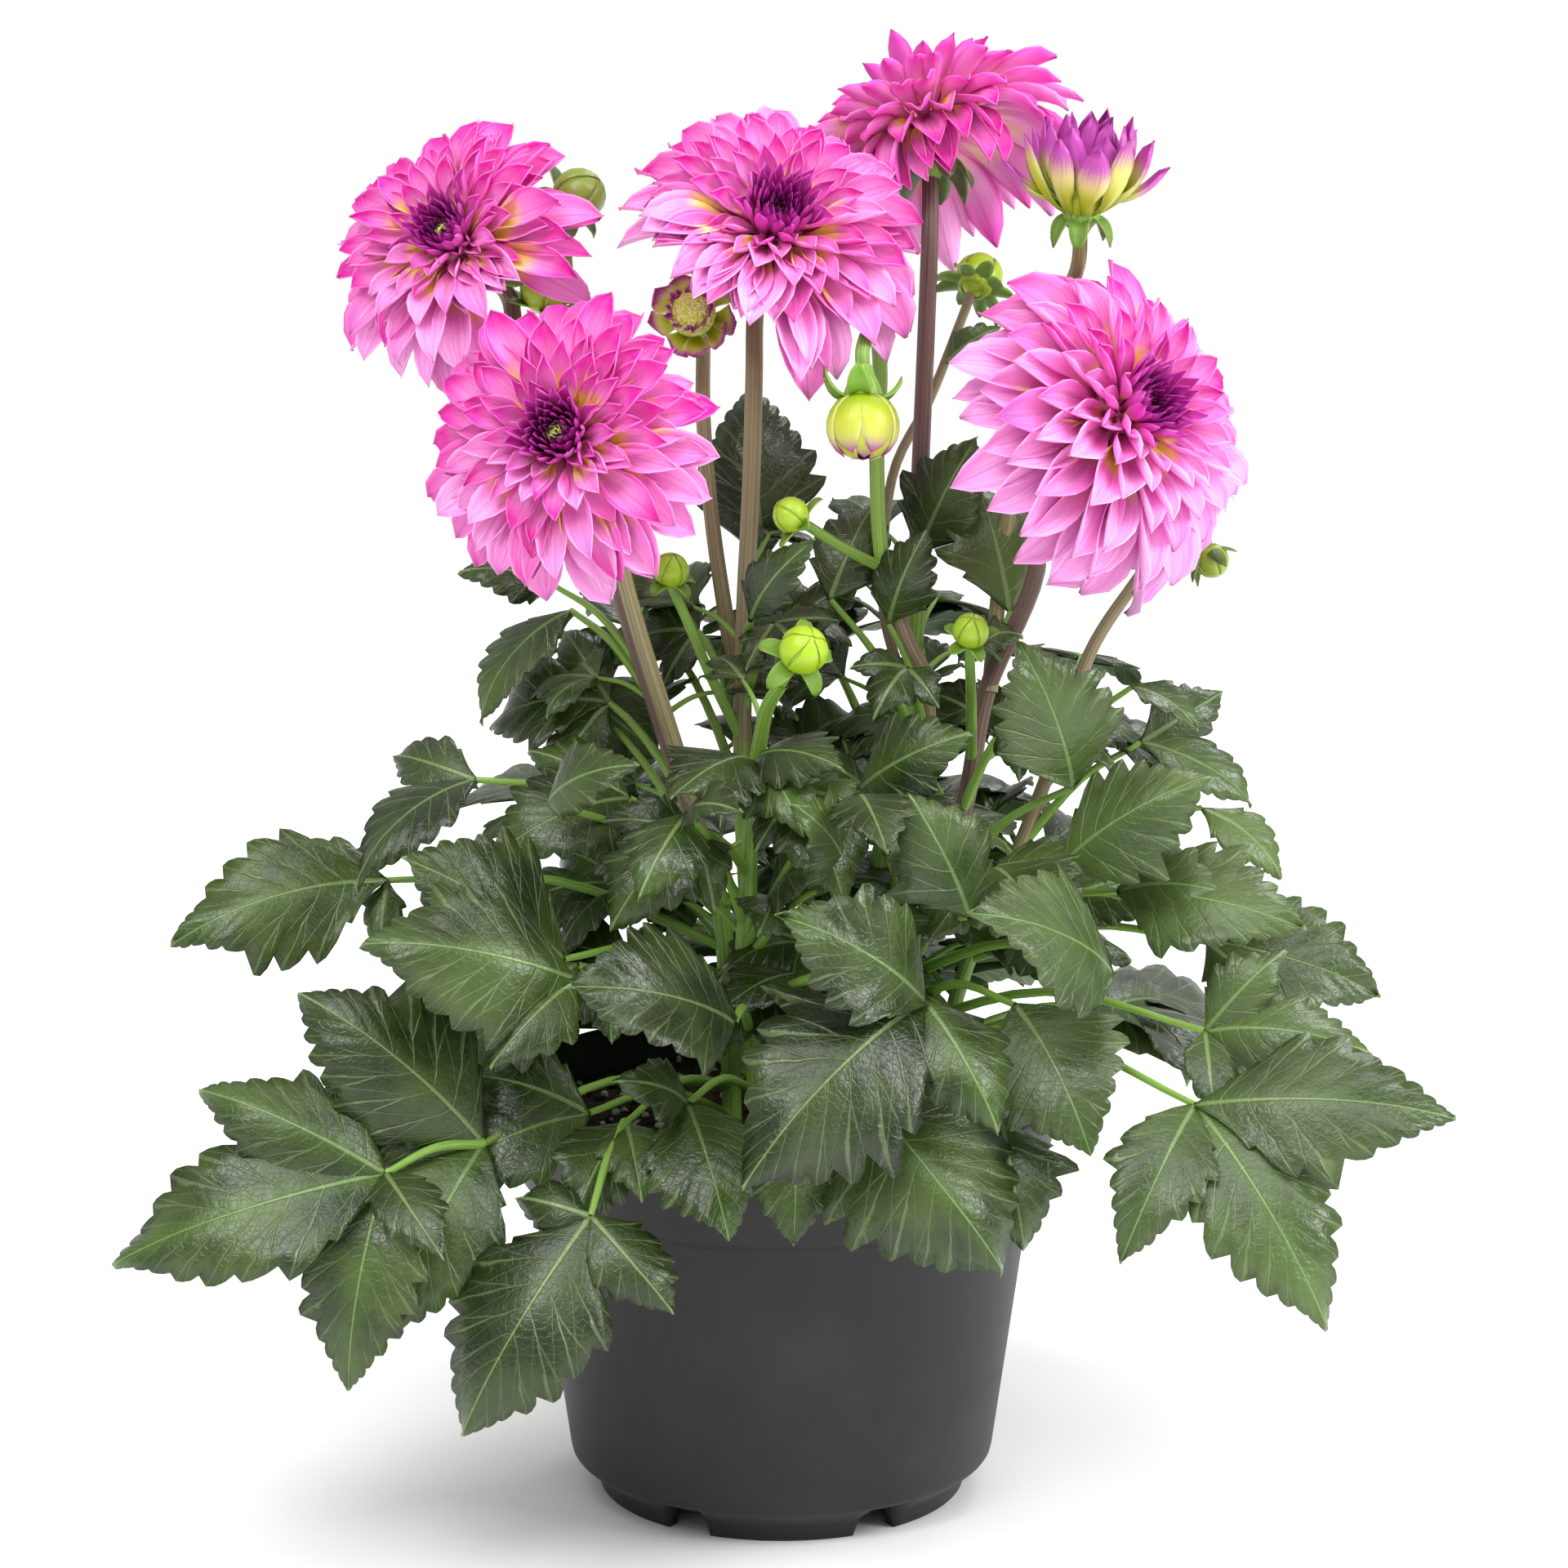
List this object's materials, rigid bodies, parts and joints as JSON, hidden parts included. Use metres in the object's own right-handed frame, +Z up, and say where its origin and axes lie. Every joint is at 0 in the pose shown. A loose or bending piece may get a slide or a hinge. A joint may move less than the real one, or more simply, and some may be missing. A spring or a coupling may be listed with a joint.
{
  "type": "potted dahlia",
  "caption": "Flowering dahlia plant in a round plastic nursery pot with a stepped collar, with lobed pink blooms, buds and toothed dark green leaves on branching stems",
  "frame": {"origin": "On the pot's axis, on the surface that the pot stands on", "axes": "+Z is up along the pot's axis, the flowers face along -Y, and +X is to the right seen from the front"},
  "size_m": [0.4201, 0.2983, 0.4884],
  "materials": {
    "pot_plastic": "satin",
    "soil": "matte",
    "foliage": "satin",
    "petals": "matte",
    "young_petals": "satin"
  },
  "bodies": {
    "root": {"pot": "pot_plastic", "soil": "soil", "shoot_left": "foliage", "shoot_front": "foliage", "shoot_centre": "foliage", "shoot_nodding": "foliage", "shoot_top": "foliage", "shoot_right": "foliage", "shoot_far_right": "foliage", "bloom_left": "petals", "bloom_low_left": "petals", "bloom_centre": "petals", "bloom_top": "petals", "bloom_right": "petals", "flower_half_open": "young_petals", "bud_opening": "young_petals", "bud_nodding": "young_petals"}
  },
  "joints": []
}
